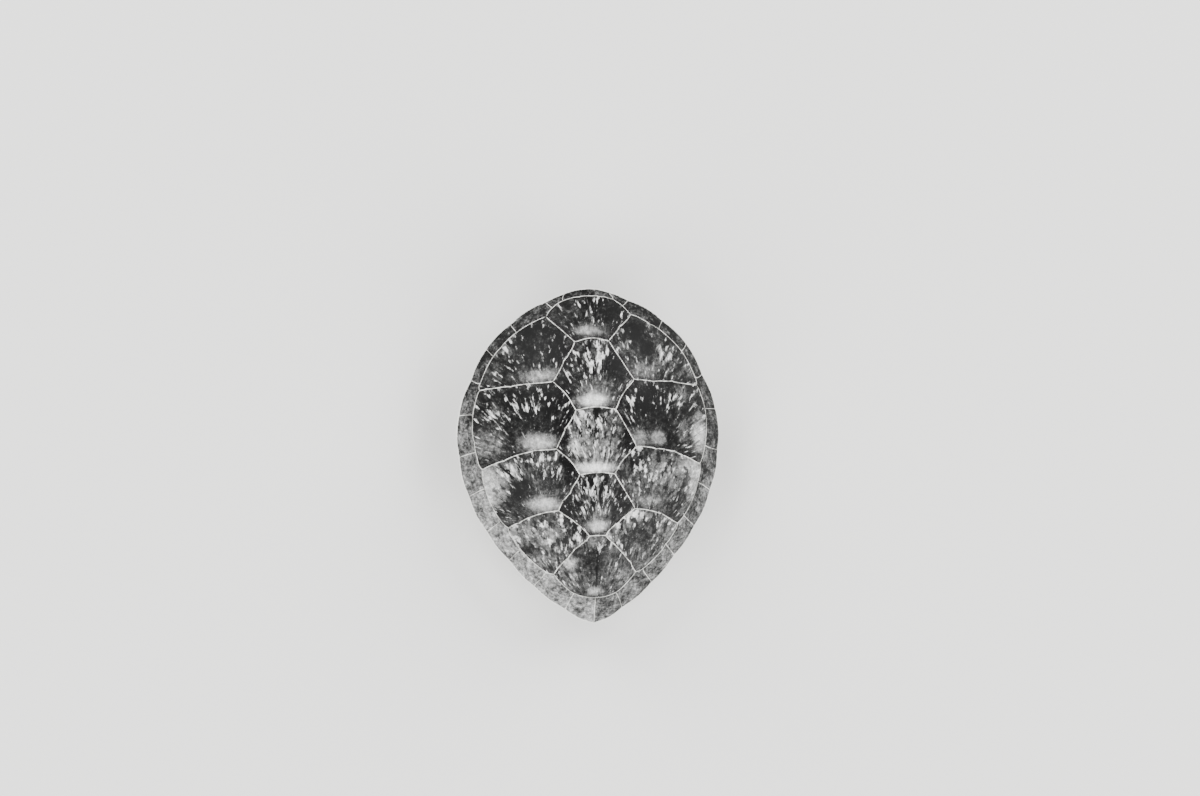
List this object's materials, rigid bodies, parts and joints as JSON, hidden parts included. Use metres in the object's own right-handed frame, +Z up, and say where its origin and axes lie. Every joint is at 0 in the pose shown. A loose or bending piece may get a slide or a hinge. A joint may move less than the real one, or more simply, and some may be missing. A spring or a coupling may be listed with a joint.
{
  "type": "turtle shell",
  "caption": "Shell of a young green sea turtle: a domed bony carapace and a flat bony plastron joined at the sides, both covered with horny scutes.",
  "frame": {"origin": "centre of the shell's bounding box in plan, at the flat of the plastron that it stands on", "axes": "+X to the animal's right, +Y towards its head, +Z up through the dome"},
  "size_m": [0.3542, 0.4463, 0.165],
  "materials": {
    "dome_horn": "smooth mottled horn with pale rays, silky",
    "rim_horn": "finely speckled horn, silky",
    "belly_horn": "pale smooth horn",
    "bone": "dry porous bone, matt"
  },
  "bodies": {
    "root": {"bony_carapace": "bone", "nuchal_scute": "rim_horn", "vertebral_scute_1": "dome_horn", "vertebral_scute_2": "dome_horn", "vertebral_scute_3": "dome_horn", "vertebral_scute_4": "dome_horn", "vertebral_scute_5": "dome_horn", "costal_scute_left_1": "dome_horn", "costal_scute_left_2": "dome_horn", "costal_scute_left_3": "dome_horn", "costal_scute_left_4": "dome_horn", "costal_scute_right_1": "dome_horn", "costal_scute_right_2": "dome_horn", "costal_scute_right_3": "dome_horn", "costal_scute_right_4": "dome_horn", "marginal_scute_left_1": "rim_horn", "marginal_scute_left_2": "rim_horn", "marginal_scute_left_3": "rim_horn", "marginal_scute_left_4": "rim_horn", "marginal_scute_left_5": "rim_horn", "marginal_scute_left_6": "rim_horn", "marginal_scute_left_7": "rim_horn", "marginal_scute_left_8": "rim_horn", "marginal_scute_left_9": "rim_horn", "marginal_scute_left_10": "rim_horn", "marginal_scute_left_11": "rim_horn", "marginal_scute_right_1": "rim_horn", "marginal_scute_right_2": "rim_horn", "marginal_scute_right_3": "rim_horn", "marginal_scute_right_4": "rim_horn", "marginal_scute_right_5": "rim_horn", "marginal_scute_right_6": "rim_horn", "marginal_scute_right_7": "rim_horn", "marginal_scute_right_8": "rim_horn", "marginal_scute_right_9": "rim_horn", "marginal_scute_right_10": "rim_horn", "marginal_scute_right_11": "rim_horn", "supracaudal_scute_left": "rim_horn", "supracaudal_scute_right": "rim_horn", "bony_plastron": "bone", "gular_scute_left": "belly_horn", "gular_scute_right": "belly_horn", "humeral_scute_left": "belly_horn", "humeral_scute_right": "belly_horn", "pectoral_scute_left": "belly_horn", "pectoral_scute_right": "belly_horn", "abdominal_scute_left": "belly_horn", "abdominal_scute_right": "belly_horn", "femoral_scute_left": "belly_horn", "femoral_scute_right": "belly_horn", "anal_scute_left": "belly_horn", "anal_scute_right": "belly_horn", "inframarginal_scute_left_1": "belly_horn", "inframarginal_scute_left_2": "belly_horn", "inframarginal_scute_left_3": "belly_horn", "inframarginal_scute_left_4": "belly_horn", "inframarginal_scute_right_1": "belly_horn", "inframarginal_scute_right_2": "belly_horn", "inframarginal_scute_right_3": "belly_horn", "inframarginal_scute_right_4": "belly_horn"}
  },
  "joints": []
}
